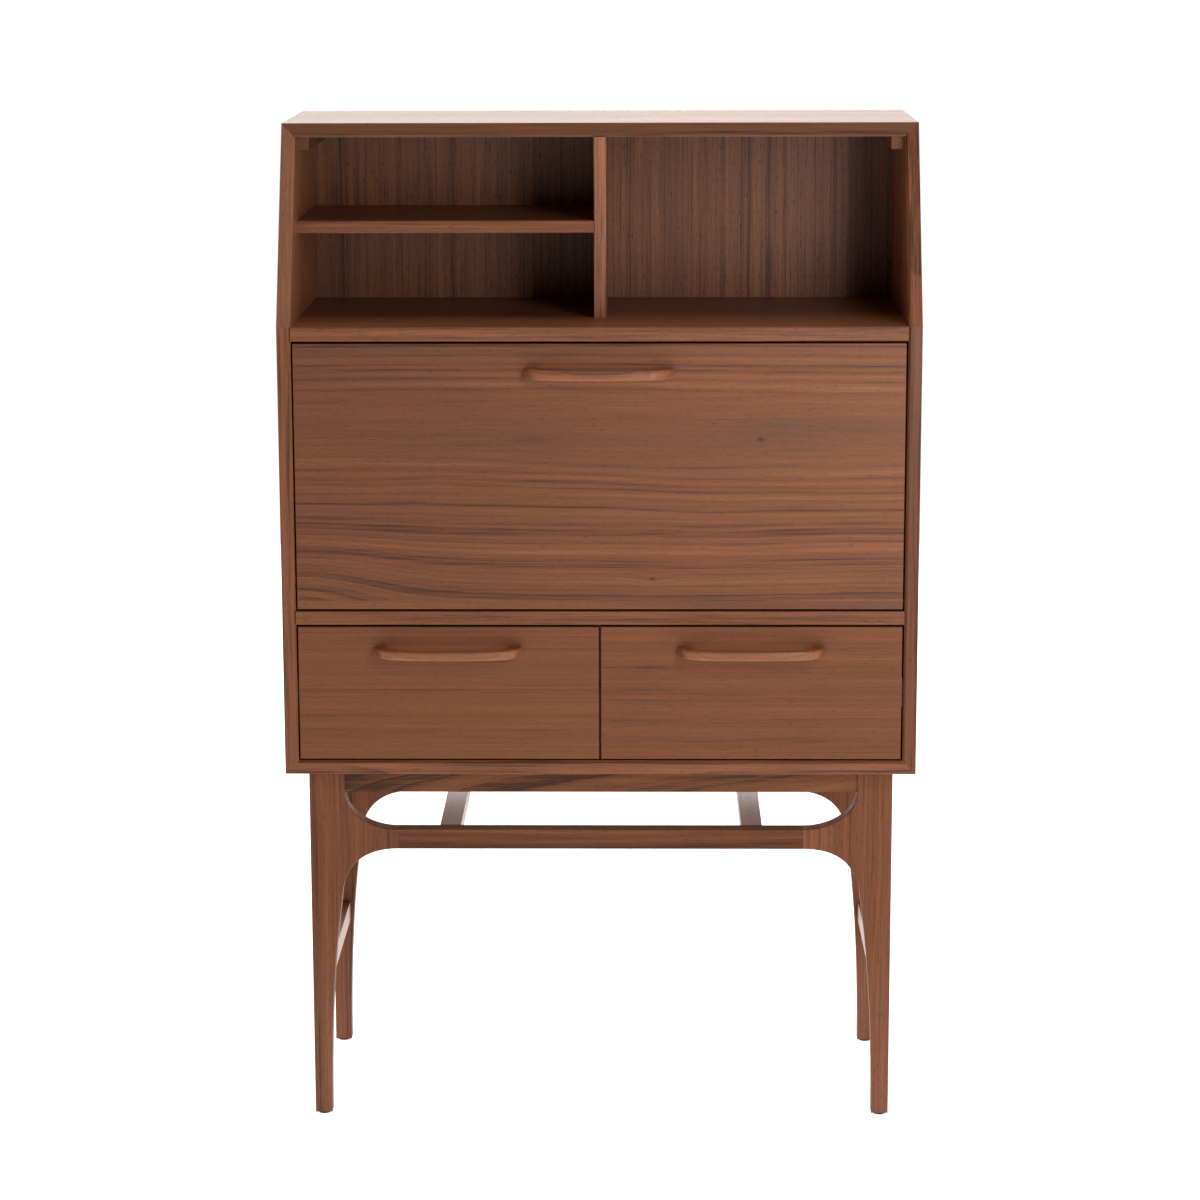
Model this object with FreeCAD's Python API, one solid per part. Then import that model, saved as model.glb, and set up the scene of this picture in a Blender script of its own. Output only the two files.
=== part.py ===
"""Secretary desk: a slant-fronted cabinet with a hutch, a drop-down writing flap
and two drawers, standing on a frame of four tapered legs.

Millimetres, +Z up. The front faces -Y. The origin is on the floor, in the middle
of the box that holds the closed desk, handles included.
"""
import FreeCAD, Part
import math
import os

V = FreeCAD.Vector

# ---- driving sizes: cabinet ----
width = 880.0                # outside faces of the side panels
depth = 425.0                # front plane of the flap to the rear edges
stand_height = 514.0         # floor to the underside of the cabinet
board = 19.0                 # top, bottom, sides, hutch floor and middle board
hutch_clear = 250.0          # hutch floor to the underside of the top
flap_height = 369.0
drawer_height = 188.0        # height of a drawer front
top_setback = 123.0          # how far the top's front edge lies behind the flap
reveal = 3.0                 # gap above and below the flap and the drawer fronts
side_reveal = 2.5            # gap beside the flap and the drawer fronts
lipping_depth = 12.0         # solid front edge of each cabinet board
lipping_bevel = 3.5          # bevel on the inner front edge of the frame
back_recess = 48.0           # rear edges to the face of the back panels
back_thickness = 9.0
tongue = 5.0                 # depth of a groove that holds a panel
arris = 1.0                  # rounding of the edges that a hand can reach

# ---- driving sizes: hutch ----
inner_board = 17.0           # divider, shelf and drawer partition
shelf_rise = 118.0           # hutch floor to the underside of the shelf
batten = 18.0                # square section of the two battens under the top
batten_setback = 15.0        # their ends, behind the divider's front edge

# ---- driving sizes: flap and its hardware ----
flap_thickness = 20.0
flap_lipping_height = 12.0
pivot_back = 7.0             # pivot axis behind the flap's front face
pivot_up = 9.0               # pivot axis above the flap's lower edge
pin_radius = 2.5
pin_grip = 25.0              # length of a pivot pin inside the flap
bush_wall = 1.5
bush_length = 14.0
running_gap = 0.05           # radial clearance of a running fit
body_gap = 0.5               # least space between parts that pass each other
bed_gap = 2.0                # space between the writing bed and the flap's sweep
tail_gap = 22.0              # rod's tail to the back panel, flap closed
stay_lead = 10.0             # degrees from the rod's pivot back to the guide's
stay_offset = 12.0           # rod's pivot, behind the flap's inner face
stop_gap = 0.1               # left between guide and collar when the flap is open
rod_radius = 3.0
rod_inset = 8.0              # rod axis, inwards from the cabinet side
guide_size = 18.0
guide_width = 14.0
stub_radius = 4.0
stub_length = 10.0
collar_radius = 5.5
collar_length = 8.0
eye_radius = 7.0
eye_width = 6.0
lug_width = 5.0
bracket_height = 30.0
bracket_thickness = 2.0
flap_open = 90.0             # degrees
catch_length = 40.0
catch_depth = 14.0
catch_height = 12.0
strike_height = 12.0
strike_thickness = 1.2

# ---- driving sizes: drawers ----
front_thickness = 20.0
drawer_side = 12.0
drawer_box_height = 130.0
drawer_back_gap = 27.0       # back of the drawer box to the back panel
drawer_box_rise = 25.0       # lower edge of the box above that of the front
drawer_bottom = 6.0
bottom_rise = 10.0           # drawer bottom above the box's lower edge
runner_space = 12.7          # cabinet wall to drawer side
runner_end_gap = 6.0         # runner's rear end before that of the drawer box
runner_height = 42.0
runner_wall = 1.5
runner_flange = 8.0
runner_play = 0.3
runner_start = 24.0          # runner's front end behind the front plane

# ---- driving sizes: bow handles ----
handle_length = 205.0
handle_height = 13.0
handle_projection = 42.0
handle_bar = 13.0            # thickness of the bow at its middle
handle_foot = 17.0           # length of a foot on the face
handle_shoulder = 0.66       # share of the half length where the ends begin to turn in
handle_fullness = 0.9        # share of the projection reached at the shoulder
handle_round = 3.0
flap_handle_drop = 33.5      # flap's upper edge to the top of its handle
drawer_handle_drop = 27.0    # drawer's upper edge to the top of its handle

# ---- driving sizes: stand ----
stand_width = 822.0          # outside faces of the legs
stand_recess = 38.0          # leg faces behind the front plane, and before the rear
rail_depth = 25.0            # front to back, legs and stretchers
foot_width = 24.0
leg_width = 50.0             # at the top
horn_reach = 125.0           # outside face of a leg to the end of its horn
stretcher_low = 395.0
stretcher_high = 424.0
window_top = 477.5           # underside of the aprons
arch_base = 318.0            # where the leg's taper meets the lower arch
arch_width = 43.0            # leg's width there
taper_straight = 0.45        # share of the taper's height that stays near upright
taper_flare = 1.2            # lean of the taper's upper end, against its mean lean
arch_fullness = 0.65
window_fullness = 0.5523     # four-arc value: a quarter of an ellipse
apron_recess = 3.0
cross_rail_width = 30.0
cross_rail_height = 22.0
cross_rail_offset = 213.5    # middle of the stand to a cross rail's axis
side_rail_low = 195.0
side_rail_height = 27.0
side_rail_thickness = 20.0
side_rail_inset = 6.0        # outside face of a leg to that of the side rail
block_size = 45.0
block_height = 28.0
screw_radius = 2.5
screw_head_radius = 5.0
screw_head_height = 3.5
screw_bite = 12.0            # how far a screw enters the cabinet's bottom
glide_radius = 9.0
glide_height = 3.0
glide_pin_radius = 1.5
glide_pin_length = 12.0
leg_round = 2.0

# ---- levels, from the floor up ----
z_bottom = stand_height
z_drawer_floor = z_bottom + board
z_drawer_low = z_drawer_floor + reveal
z_drawer_high = z_drawer_low + drawer_height
z_middle_low = z_drawer_high + reveal
z_middle_high = z_middle_low + board
z_flap_low = z_middle_high + reveal
z_flap_high = z_flap_low + flap_height
z_floor_low = z_flap_high + reveal
z_kink = z_floor_low + board
z_ceiling = z_kink + hutch_clear
z_top = z_ceiling + board

# ---- places across and from front to back ----
y_front = (handle_projection - depth) / 2
y_back = y_front + depth
y_panel = y_back - back_recess
half_outer = width / 2
half_inner = half_outer - board
half_flap = half_inner - side_reveal
slant_height = z_top - z_kink
slant_length = math.hypot(slant_height, top_setback)

# ---- flap pivot and stays ----
pivot_y = y_front + pivot_back
pivot_z = z_flap_low + pivot_up
rod_back = flap_thickness + stay_offset - pivot_back
open_span = 2 * math.sin(math.radians(flap_open + stay_lead) / 2)
rod_reach = y_panel - tail_gap - pivot_y - rod_back
tail = guide_size / 2 + stop_gap + collar_length
stay_radius = (rod_reach - tail) / open_span
rod_angle = math.asin(rod_back / stay_radius)
guide_angle = rod_angle + math.radians(stay_lead)
rod_pivot = V(0, pivot_y + rod_back, pivot_z + stay_radius * math.cos(rod_angle))
guide_pivot = V(0, pivot_y + stay_radius * math.sin(guide_angle), pivot_z + stay_radius * math.cos(guide_angle))
rod_length = stay_radius * open_span + tail
x_rod = half_inner - rod_inset
z_writing = pivot_z + flap_thickness - pivot_back
corner_sweep = math.hypot(flap_thickness - pivot_back, pivot_up)

# ---- drawer places ----
y_drawer = (y_front + front_thickness, y_panel - drawer_back_gap)

SIDES = (("left", -1), ("right", 1))
hair = 0.01                  # two places closer than this are one place
parts = {}


# ---- helpers ----
def box(x, y, z):
    """A block between the low and high values of x, y and z, given as pairs."""
    size = V(x[1] - x[0], y[1] - y[0], z[1] - z[0])
    return Part.makeBox(size.x, size.y, size.z, V(x[0], y[0], z[0]))


def prism(points, move):
    """A polygon pushed along the vector move."""
    return Part.Face(Part.makePolygon(points + [points[0]])).extrude(move)


def prism_yz(points, x):
    return prism([V(x[0], a, b) for a, b in points], V(x[1] - x[0], 0, 0))


def prism_xz(points, y):
    return prism([V(a, y[0], b) for a, b in points], V(0, y[1] - y[0], 0))


def rod(start, direction, radius, length):
    return Part.makeCylinder(radius, length, start, direction)


def mirrored(shape):
    return shape.mirror(V(0, 0, 0), V(1, 0, 0))


def on_side(shape, sign):
    """The shape is drawn on the right; the left one is its mirror image."""
    return shape if sign > 0 else mirrored(shape)


def both_sides(shape):
    return Part.makeCompound([mirrored(shape), shape])


def softened(shape, radius, wanted):
    edges = [edge for edge in shape.Edges if wanted(edge)]
    return shape.makeFillet(radius, edges)


def edge_lies_at(edge, axis, value):
    box_of = edge.BoundBox
    low = getattr(box_of, axis + "Min")
    high = getattr(box_of, axis + "Max")
    return abs(low - value) < hair and abs(high - value) < hair


def edge_runs_along(edge, axes):
    """True if the straight edge runs along one of the axes named."""
    return any(getattr(edge.BoundBox, axis + "Length") > edge.Length - hair for axis in axes)


def eased_front(shape, axes):
    """Eases the edges of the front face that run along the axes named."""
    y = shape.BoundBox.YMin
    return softened(shape, arris, lambda edge: edge_lies_at(edge, "Y", y) and edge_runs_along(edge, axes))


def eased_along(shape, axis):
    """Eases every edge that runs along the axis."""
    return softened(shape, arris, lambda edge: edge_runs_along(edge, axis))


# ---- cabinet front outline ----
def kink_z(inset):
    """Height of the front outline's corner, when it is moved back by inset."""
    return z_kink - inset * (slant_length - slant_height) / top_setback


def slant_y(z, inset=0.0):
    """Slanted part of the front outline, moved back by inset square to itself."""
    return y_front + top_setback * (z - z_kink) / slant_height + inset * slant_length / slant_height


def mitre_frame():
    """Front view of the right side panel: mitred to the top and to the bottom."""
    return [
        (half_inner, z_bottom + board),
        (half_outer, z_bottom),
        (half_outer, z_top),
        (half_inner, z_top - board),
    ]


def bevel_tool(start, end, outwards):
    """Three-sided strip that bevels the edge from start to end.

    outwards points from the opening's edge into the board; the strip takes the
    corner between the front face and the face that looks into the opening.
    """
    along = (end - start).normalize()
    back = outwards.cross(along).normalize()
    if back.y < 0:
        back = back.multiply(-1)
    reach = lipping_bevel
    base = start - along * board
    inner = base - outwards * reach - back * reach
    points = [inner, inner + outwards * 3 * reach, inner + back * 3 * reach]
    return prism(points, along * ((end - start).Length + 2 * board))


def front_corner(x, z):
    return V(x, slant_y(z) if z > z_kink else y_front, z)


def eased_outside(lipping):
    """Eases the outer front edge of a side's lipping, upright or slanted."""
    def outer_front(edge):
        middle = edge.CenterOfMass
        on_front = middle.y < max(y_front, slant_y(middle.z)) + hair
        return edge_lies_at(edge, "X", half_outer) and on_front

    return softened(lipping, arris, outer_front)


def cabinet_shell():
    frame = prism_xz(mitre_frame(), (y_front, y_back))
    x_span = (half_inner, half_outer)
    panel_outline = [
        (y_front + lipping_depth, z_bottom),
        (y_front + lipping_depth, kink_z(lipping_depth)),
        (slant_y(z_top, lipping_depth), z_top),
        (y_back, z_top),
        (y_back, z_bottom),
    ]
    lower_outline = [
        (y_front, z_bottom),
        (y_front, z_kink),
        (y_front + lipping_depth, kink_z(lipping_depth)),
        (y_front + lipping_depth, z_bottom),
    ]
    upper_outline = [
        (y_front, z_kink),
        (slant_y(z_top), z_top),
        (slant_y(z_top, lipping_depth), z_top),
        (y_front + lipping_depth, kink_z(lipping_depth)),
    ]
    groove = box((half_inner, half_inner + tongue), (y_panel, y_panel + back_thickness),
                 (z_drawer_floor - tongue, z_ceiling + tongue))
    low_corner = front_corner(half_inner, z_drawer_floor)
    kink_corner = front_corner(half_inner, z_kink)
    high_corner = front_corner(half_inner, z_ceiling)
    lower_bevel = bevel_tool(low_corner, kink_corner, V(1, 0, 0))
    upper_bevel = bevel_tool(kink_corner, high_corner, V(1, 0, 0))
    panel = prism_yz(panel_outline, x_span).common(frame).cut(groove)
    lower = eased_outside(prism_yz(lower_outline, x_span).common(frame)).cut(lower_bevel)
    upper = eased_outside(prism_yz(upper_outline, x_span).common(frame)).cut(upper_bevel)
    stub_hole = rod(V(half_inner, guide_pivot.y, guide_pivot.z), V(1, 0, 0),
                    stub_radius + running_gap, stub_length + body_gap)
    bush_hole = rod(V(half_inner, pivot_y, pivot_z), V(1, 0, 0),
                    pin_radius + running_gap + bush_wall, bush_length)
    panel = panel.cut(stub_hole)
    lower = lower.cut(bush_hole)
    for side, sign in SIDES:
        parts["side_panel_" + side] = on_side(panel, sign)
        parts["side_lipping_lower_" + side] = on_side(lower, sign)
        parts["side_lipping_upper_" + side] = on_side(upper, sign)
    parts["pivot_bushes"] = both_sides(pivot_bush())


def pivot_bush():
    outer = rod(V(half_inner, pivot_y, pivot_z), V(1, 0, 0), pin_radius + running_gap + bush_wall, bush_length)
    bore = rod(V(half_inner, pivot_y, pivot_z), V(1, 0, 0), pin_radius + running_gap, bush_length)
    return outer.cut(bore)


def top_and_bottom():
    top_view = [
        (-half_outer, z_top),
        (half_outer, z_top),
        (half_inner, z_ceiling),
        (-half_inner, z_ceiling),
    ]
    bottom_view = [
        (-half_outer, z_bottom),
        (half_outer, z_bottom),
        (half_inner, z_drawer_floor),
        (-half_inner, z_drawer_floor),
    ]
    span = (-half_outer, half_outer)
    top_panel_side = [
        (slant_y(z_ceiling, lipping_depth), z_ceiling),
        (slant_y(z_top, lipping_depth), z_top),
        (y_back, z_top),
        (y_back, z_ceiling),
    ]
    top_lipping_side = [
        (slant_y(z_ceiling), z_ceiling),
        (slant_y(z_top), z_top),
        (slant_y(z_top, lipping_depth), z_top),
        (slant_y(z_ceiling, lipping_depth), z_ceiling),
    ]
    back_groove = (y_panel, y_panel + back_thickness)
    x_groove = (-half_inner - tongue, half_inner + tongue)
    top_groove = box(x_groove, back_groove, (z_ceiling, z_ceiling + tongue))
    bottom_groove = box(x_groove, back_groove, (z_drawer_floor - tongue, z_drawer_floor))
    top_bevel = bevel_tool(front_corner(-half_inner, z_ceiling), front_corner(half_inner, z_ceiling),
                           V(0, top_setback, slant_height).normalize())
    bottom_bevel = bevel_tool(front_corner(-half_inner, z_drawer_floor),
                              front_corner(half_inner, z_drawer_floor), V(0, 0, -1))
    top_prism = prism_xz(top_view, (y_front, y_back))
    bottom_prism = prism_xz(bottom_view, (y_front, y_back))
    parts["top_panel"] = prism_yz(top_panel_side, span).common(top_prism).cut(top_groove)
    top_lipping = prism_yz(top_lipping_side, span).common(top_prism)

    def top_front(edge):
        return edge_lies_at(edge, "Z", z_top) and edge_lies_at(edge, "Y", slant_y(z_top))

    parts["top_lipping"] = softened(top_lipping, arris, top_front).cut(top_bevel)
    y_split = y_front + lipping_depth
    bottom = bottom_prism.cut(box(span, (y_front, y_split), (z_bottom, z_drawer_floor)))
    parts["bottom_panel"] = bottom.cut(bottom_groove).cut(Part.makeCompound(stand_screws()))
    lipping = bottom_prism.common(box(span, (y_front, y_split), (z_bottom, z_drawer_floor)))

    def low_front(edge):
        return edge_lies_at(edge, "Z", z_bottom) and edge_lies_at(edge, "Y", y_front)

    parts["bottom_lipping"] = softened(lipping, arris, low_front).cut(bottom_bevel)


# ---- cabinet inside ----
def inside_boards():
    span = (-half_inner, half_inner)
    parts["hutch_floor"] = eased_front(box(span, (y_front, y_panel), (z_floor_low, z_kink)), "X")
    parts["middle_board"] = eased_front(box(span, (y_front, y_panel), (z_middle_low, z_middle_high)), "X")
    bed_front = pivot_y + corner_sweep + bed_gap
    parts["writing_bed"] = box(span, (bed_front, y_panel), (z_middle_high, z_writing))
    divider_front = slant_y(z_ceiling)
    half_divider = inner_board / 2
    shelf_low = z_kink + shelf_rise
    divider = box((-half_divider, half_divider), (divider_front, y_panel), (z_kink, z_ceiling))
    shelf = box((-half_inner, -half_divider), (divider_front, y_panel), (shelf_low, shelf_low + inner_board))
    parts["hutch_divider"] = eased_front(divider, "Z")
    parts["hutch_shelf"] = eased_front(shelf, "X")
    partition_front = y_front + front_thickness + body_gap
    parts["drawer_partition"] = box((-half_divider, half_divider), (partition_front, y_panel),
                                    (z_drawer_floor, z_middle_low))
    under_top = box((half_inner - batten, half_inner), (divider_front + batten_setback, y_panel),
                    (z_ceiling - batten, z_ceiling))
    parts["top_battens"] = both_sides(under_top)


def back_panels():
    span = (-half_inner - tongue, half_inner + tongue)
    y_span = (y_panel, y_panel + back_thickness)
    z_split = z_kink - board / 2
    parts["hutch_back"] = box(span, y_span, (z_split, z_ceiling + tongue))
    parts["lower_back"] = box(span, y_span, (z_drawer_floor - tongue, z_split))


# ---- bow handle ----
def half_bow(foot, shoulder, level, crown):
    """Points of one half of a bow: up from the foot, then over to the crown.

    The end leaves the face square to it, as a circle about a point on the face.
    """
    run = foot - shoulder
    radius = (run * run + level * level) / (2 * run)
    turn = math.asin(level / radius) / 2
    mid = (foot - radius * (1 - math.cos(turn)), radius * math.sin(turn))
    return [(foot, 0.0), mid, (shoulder, level), (0.0, crown), (-shoulder, level), (-mid[0], mid[1]), (-foot, 0.0)]


def bow_handle(x_middle, y_face, z_high):
    """A bar that bows out from a face: two feet on it and a finger gap behind."""
    half = handle_length / 2
    shoulder = handle_shoulder * half
    gap = handle_projection - handle_bar
    outer = half_bow(half, shoulder, handle_fullness * handle_projection, handle_projection)
    inner = half_bow(half - handle_foot, shoulder - handle_bar / 2, handle_fullness * gap, gap)
    z_low = z_high - handle_height

    def at(point):
        return V(x_middle + point[0], y_face - point[1], z_low)

    outline = []
    for bow in (outer, inner):
        for first in (0, 2, 4):
            outline.append(Part.Arc(*[at(point) for point in bow[first:first + 3]]).toShape())
    outline.append(Part.makeLine(at(outer[0]), at(inner[0])))
    outline.append(Part.makeLine(at(outer[-1]), at(inner[-1])))
    wire = Part.Wire(Part.__sortEdges__(outline))
    bar = Part.Face(wire).extrude(V(0, 0, handle_height))

    def long_edge(edge):
        level = edge_lies_at(edge, "Z", z_low) or edge_lies_at(edge, "Z", z_high)
        return level and not edge_lies_at(edge, "Y", y_face)

    return softened(bar, handle_round, long_edge)


# ---- flap ----
def flap():
    span = (-half_flap, half_flap)
    y_span = (y_front, y_front + flap_thickness)
    z_split = z_flap_low + flap_lipping_height
    pin = rod(V(half_flap - pin_grip, pivot_y, pivot_z), V(1, 0, 0), pin_radius,
              pin_grip + side_reveal + bush_length - body_gap)
    pins = both_sides(pin)

    def free_edge(edge):
        return not edge_lies_at(edge, "Z", z_split)

    parts["flap_panel"] = softened(box(span, y_span, (z_split, z_flap_high)), arris, free_edge)
    lipping = softened(box(span, y_span, (z_flap_low, z_split)), arris, free_edge)
    parts["flap_lipping"] = lipping.cut(pins)
    parts["flap_handle"] = bow_handle(0.0, y_front, z_flap_high - flap_handle_drop)
    parts["pivot_pins"] = pins
    y_inner = y_front + flap_thickness
    half_catch = catch_length / 2
    parts["strike_plate"] = box((-half_catch, half_catch), (y_inner, y_inner + strike_thickness),
                                (z_flap_high - strike_height, z_flap_high))
    y_catch = y_inner + strike_thickness + body_gap
    parts["magnetic_catch"] = box((-half_catch, half_catch), (y_catch, y_catch + catch_depth),
                                  (z_floor_low - catch_height, z_floor_low))


# ---- stays ----
def stay_line():
    return (guide_pivot - rod_pivot).normalize()


def stay_bracket():
    """Plate on the flap with a lug and the pin that the rod turns on."""
    x_lug = x_rod - eye_width / 2 - body_gap - lug_width
    y_inner = y_front + flap_thickness
    half_plate = bracket_height / 2
    plate = box((x_lug - lug_width, half_flap), (y_inner, y_inner + bracket_thickness),
                (rod_pivot.z - half_plate, rod_pivot.z + half_plate))
    root = box((x_lug, x_lug + lug_width), (y_inner, rod_pivot.y),
               (rod_pivot.z - eye_radius, rod_pivot.z + eye_radius))
    nose = rod(V(x_lug, rod_pivot.y, rod_pivot.z), V(1, 0, 0), eye_radius, lug_width)
    pin = rod(V(x_lug, rod_pivot.y, rod_pivot.z), V(1, 0, 0), pin_radius,
              lug_width + 2 * body_gap + eye_width)
    return plate.fuse(root).fuse(nose).fuse(pin).removeSplitter()


def stay_rod():
    """Eye, rod and the stop collar at the rod's tail, in one piece."""
    along = stay_line()
    pivot = V(x_rod, rod_pivot.y, rod_pivot.z)
    eye = rod(pivot - V(eye_width / 2, 0, 0), V(1, 0, 0), eye_radius, eye_width)
    bar = rod(pivot, along, rod_radius, rod_length)
    collar = rod(pivot + along * (rod_length - collar_length), along, collar_radius, collar_length)
    hole = rod(pivot - V(eye_width, 0, 0), V(1, 0, 0), pin_radius + running_gap, 2 * eye_width)
    return eye.cut(hole).fuse(bar.cut(hole)).fuse(collar)


def stay_guide():
    """Block that the rod slides through, with a stub that turns in the side."""
    along = stay_line()
    pitch = math.degrees(math.atan2(along.z, along.y))
    half = guide_size / 2
    block = Part.makeBox(guide_width, guide_size, guide_size, V(x_rod - guide_width / 2, -half, -half))
    block.rotate(V(0, 0, 0), V(1, 0, 0), pitch)
    block.translate(V(0, guide_pivot.y, guide_pivot.z))
    centre = V(x_rod, guide_pivot.y, guide_pivot.z)
    stub = rod(centre, V(1, 0, 0), stub_radius, half_inner + stub_length - x_rod)
    bore = rod(centre - along * guide_size, along, rod_radius + running_gap, 2 * guide_size)
    return block.fuse(stub).cut(bore)


def stays():
    parts["stay_brackets"] = both_sides(stay_bracket())
    for side, sign in SIDES:
        parts["stay_rod_" + side] = on_side(stay_rod(), sign)
        parts["stay_guide_" + side] = on_side(stay_guide(), sign)


# ---- drawers, drawn on the right ----
def channel(x_web, x_tip, half_height, z_middle, y_span):
    """Runner member: an upright web and two flanges that reach to x_tip."""
    step = runner_wall if x_tip > x_web else -runner_wall
    web = box(sorted((x_web, x_web + step)), y_span, (z_middle - half_height, z_middle + half_height))
    flanges = [
        box(sorted((x_web, x_tip)), y_span, (z_middle + half_height - runner_wall, z_middle + half_height)),
        box(sorted((x_web, x_tip)), y_span, (z_middle - half_height, z_middle - half_height + runner_wall)),
    ]
    return web.fuse(flanges).removeSplitter()


def runner_pair(x_wall, x_drawer, z_middle):
    """Outer member on the wall at x_wall and inner member on the drawer side."""
    y_span = (y_front + runner_start, y_drawer[1] - runner_end_gap)
    inwards = 1 if x_drawer > x_wall else -1
    half_outer_member = runner_height / 2
    half_inner_member = half_outer_member - runner_wall - runner_play
    outer = channel(x_wall, x_wall + inwards * runner_flange, half_outer_member, z_middle, y_span)
    inner = channel(x_drawer, x_drawer - inwards * runner_flange, half_inner_member, z_middle, y_span)
    return outer, inner


def drawers():
    x_low = inner_board / 2
    x_box = (x_low + runner_space, half_inner - runner_space)
    y_box = y_drawer
    z_box = (z_drawer_low + drawer_box_rise, z_drawer_low + drawer_box_rise + drawer_box_height)
    z_panel = (z_box[0] + bottom_rise, z_box[0] + bottom_rise + drawer_bottom)
    inside = (x_box[0] + drawer_side, x_box[1] - drawer_side)
    panel = box((inside[0] - tongue, inside[1] + tongue), (y_box[0] - tongue, y_box[1] - drawer_side + tongue),
                z_panel)
    front = box((reveal / 2, half_flap), (y_front, y_box[0]), (z_drawer_low, z_drawer_high))
    front = eased_front(front, "XZ").cut(panel)
    near_side = box((x_box[0], inside[0]), y_box, z_box).cut(panel)
    far_side = box((inside[1], x_box[1]), y_box, z_box).cut(panel)
    back = box(inside, (y_box[1] - drawer_side, y_box[1]), z_box).cut(panel)
    x_middle = (reveal / 2 + half_flap) / 2
    handle = bow_handle(x_middle, y_front, z_drawer_high - drawer_handle_drop)
    z_middle = (z_box[0] + z_box[1]) / 2
    near = runner_pair(x_low, x_box[0], z_middle)
    far = runner_pair(half_inner, x_box[1], z_middle)
    outers = Part.makeCompound([near[0], far[0]])
    inners = Part.makeCompound([near[1], far[1]])
    for side, sign in SIDES:
        name = "drawer_" + side
        parts[name + "_front"] = on_side(front, sign)
        parts[name + "_sides"] = on_side(Part.makeCompound([near_side, far_side]), sign)
        parts[name + "_back"] = on_side(back, sign)
        parts[name + "_bottom"] = on_side(panel, sign)
        parts[name + "_handle"] = on_side(handle, sign)
        parts[name + "_runners"] = on_side(inners, sign)
    parts["cabinet_runners"] = both_sides(outers)


# ---- stand, front right leg drawn first ----
half_stand = stand_width / 2
y_leg = y_front + stand_recess
y_leg_back = y_leg + rail_depth
y_rear_face = y_back - stand_recess
y_rear_inner = y_rear_face - rail_depth
x_horn = half_stand - horn_reach
x_apron = half_stand - leg_width
apron_thickness = rail_depth - apron_recess
block_corner = (half_stand - apron_recess - apron_thickness, y_leg_back)


def curve(points):
    bezier = Part.BezierCurve()
    bezier.setPoles(points)
    return bezier.toShape()


def leg():
    """Right leg with its horn, seen from the front and pushed back."""
    x_foot = half_stand - foot_width
    x_arch = half_stand - arch_width
    taper = arch_base - glide_height

    def at(x, z):
        return V(x, y_leg, z)

    lower_pull = arch_fullness * (stretcher_low - arch_base)
    side_pull = arch_fullness * (x_arch - x_horn)
    lean = (x_foot - x_arch) / taper
    drop = window_fullness * (window_top - stretcher_high)
    reach = window_fullness * (x_apron - x_horn)
    outline = [
        Part.makeLine(at(half_stand, glide_height), at(x_foot, glide_height)),
        curve([
            at(x_foot, glide_height),
            at(x_foot, glide_height + taper_straight * taper),
            at(x_arch + taper_flare * lean * taper_straight * taper, arch_base - taper_straight * taper / 2),
            at(x_arch, arch_base),
        ]),
        curve([
            at(x_arch, arch_base),
            at(x_arch - lean * lower_pull, arch_base + lower_pull),
            at(x_horn + side_pull, stretcher_low),
            at(x_horn, stretcher_low),
        ]),
        Part.makeLine(at(x_horn, stretcher_low), at(x_horn, stretcher_high)),
        curve([
            at(x_horn, stretcher_high),
            at(x_horn + reach, stretcher_high),
            at(x_apron, window_top - drop),
            at(x_apron, window_top),
        ]),
        Part.makeLine(at(x_apron, window_top), at(x_apron, z_bottom)),
        Part.makeLine(at(x_apron, z_bottom), at(half_stand, z_bottom)),
        Part.makeLine(at(half_stand, z_bottom), at(half_stand, glide_height)),
    ]
    solid = Part.Face(Part.Wire(outline)).extrude(V(0, rail_depth, 0))

    def outline_edge(edge):
        on_face = edge_lies_at(edge, "Y", y_leg) or edge_lies_at(edge, "Y", y_leg_back)
        joint = edge_lies_at(edge, "X", x_horn) or edge_lies_at(edge, "Z", z_bottom)
        return on_face and not joint

    solid = softened(solid, leg_round, outline_edge)
    return solid.cut(rod(V(x_foot + foot_width / 2, y_leg + rail_depth / 2, 0), V(0, 0, 1),
                         glide_pin_radius, glide_height + glide_pin_length))


def stretcher():
    bar = box((-x_horn, x_horn), (y_leg, y_leg_back), (stretcher_low, stretcher_high))
    return softened(bar, leg_round, lambda edge: edge_runs_along(edge, "X"))


def glide():
    x_foot = half_stand - foot_width / 2
    start = V(x_foot, y_leg + rail_depth / 2, 0)
    pad = rod(start, V(0, 0, 1), glide_radius, glide_height)
    return pad.fuse(rod(start, V(0, 0, 1), glide_pin_radius, glide_height + glide_pin_length)).removeSplitter()


def front_to_rear(shape):
    """The rear frame is the front one turned end for end."""
    return shape.mirror(V(0, (y_front + y_back) / 2, 0), V(0, 1, 0))


def corner_block():
    x, y = block_corner
    z_low = z_bottom - block_height
    points = [V(x, y, z_low), V(x - block_size, y, z_low), V(x, y + block_size, z_low)]
    return prism(points, V(0, 0, block_height))


def stand_screw():
    x, y = block_corner
    third = block_size / 3
    z_low = z_bottom - block_height
    start = V(x - third, y + third, z_low)
    shank = rod(start, V(0, 0, 1), screw_radius, block_height + screw_bite)
    head = rod(start - V(0, 0, screw_head_height), V(0, 0, 1), screw_head_radius, screw_head_height)
    return shank.fuse(head).removeSplitter()


def at_four_corners(shape):
    quarter = [shape, mirrored(shape)]
    return quarter + [front_to_rear(one) for one in quarter]


def stand_screws():
    return at_four_corners(stand_screw())


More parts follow.
